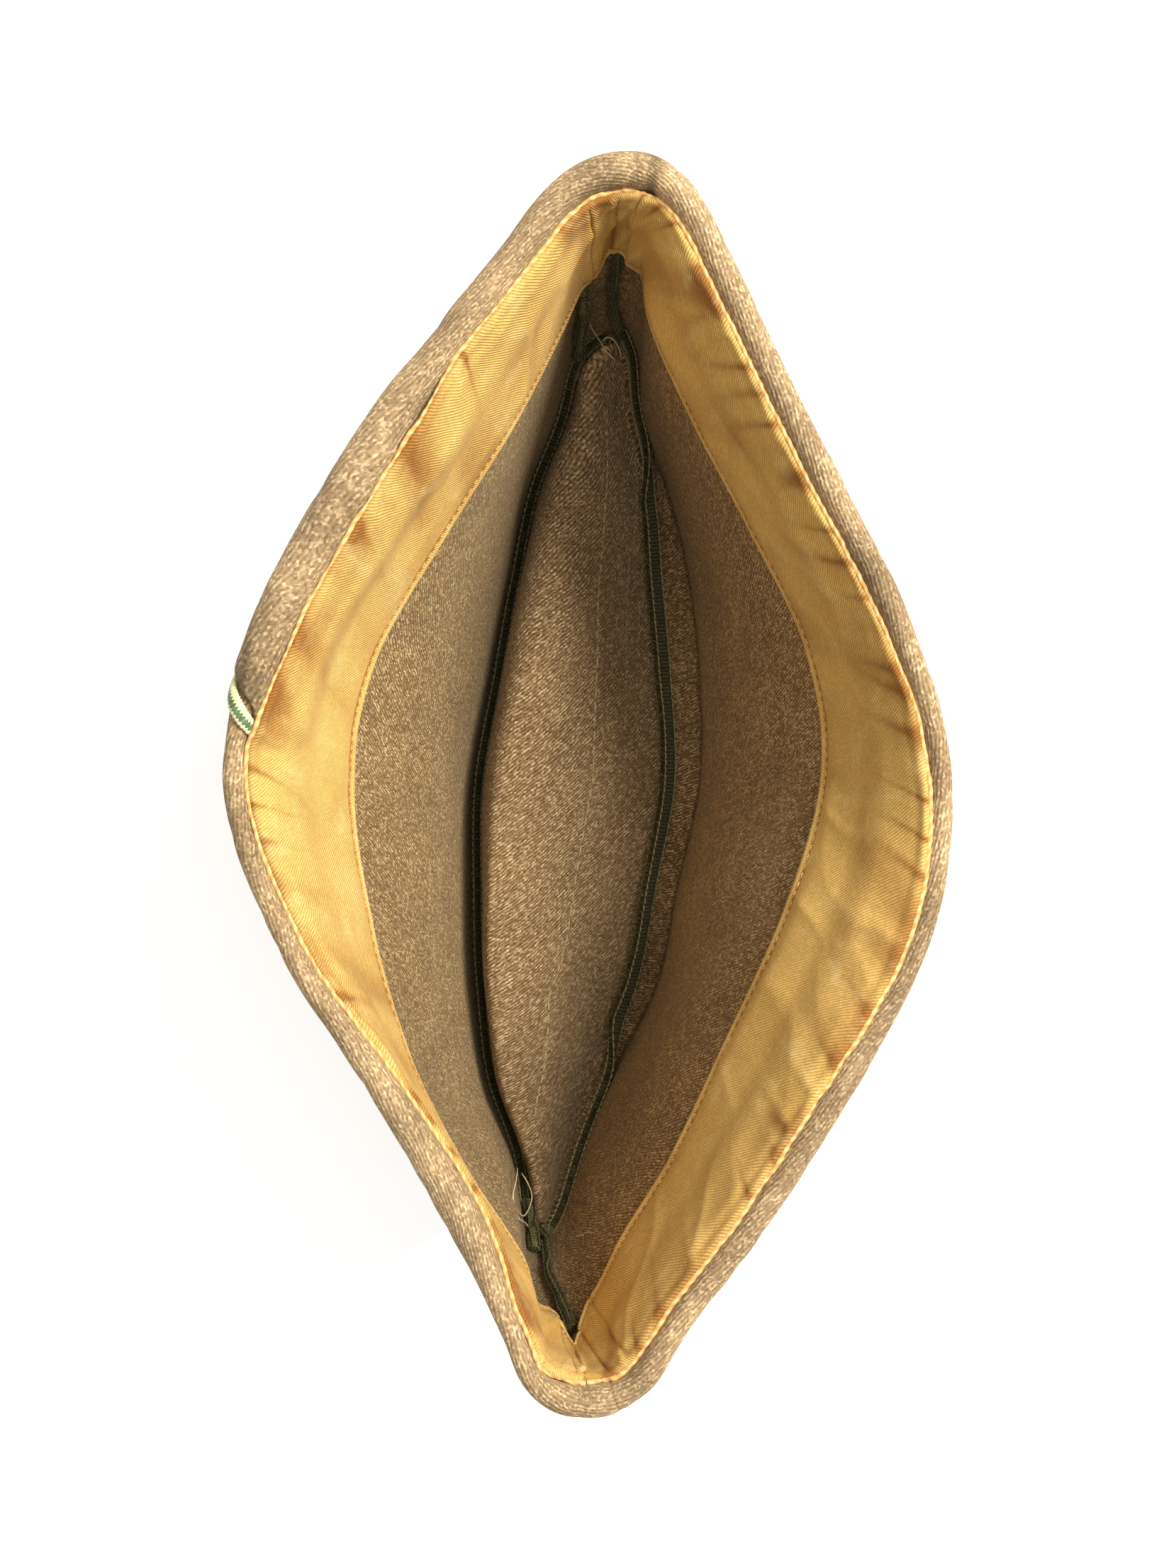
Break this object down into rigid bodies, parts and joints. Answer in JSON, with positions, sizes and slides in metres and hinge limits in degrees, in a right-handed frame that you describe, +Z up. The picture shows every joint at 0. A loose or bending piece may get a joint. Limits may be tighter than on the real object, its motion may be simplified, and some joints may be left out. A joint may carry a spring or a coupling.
{
  "type": "garrison cap",
  "caption": "Wool garrison cap opened out and lying on its crown, with a cotton sweatband, a turned-up curtain and twisted cord piping.",
  "frame": {"origin": "on the floor below the middle of the opening, the cap lying on its crown", "axes": "+Z up out of the opening, +Y towards the back of the cap, -X the wearer's left"},
  "size_m": [0.1448, 0.2505, 0.1199],
  "materials": {
    "wool_left": "mottled brown olive wool twill",
    "wool_right": "mottled brown wool twill",
    "wool_gusset": "mottled brown wool twill",
    "wool_curtain": "lighter mottled olive brown wool twill",
    "cotton_band": "mustard cotton twill",
    "cord": "twisted cream and green cord",
    "overlock": "olive overlock thread over wool edges"
  },
  "bodies": {
    "root": {"crown_left": "wool_left", "crown_right": "wool_right", "crown_gusset": "wool_gusset", "curtain_over": "wool_curtain", "curtain_under": "wool_curtain", "sweatband": "cotton_band", "piping": "cord", "piping_under": "cord", "seam_left": "overlock", "seam_right": "overlock", "seam_back": "overlock", "seam_front": "overlock"}
  },
  "joints": []
}
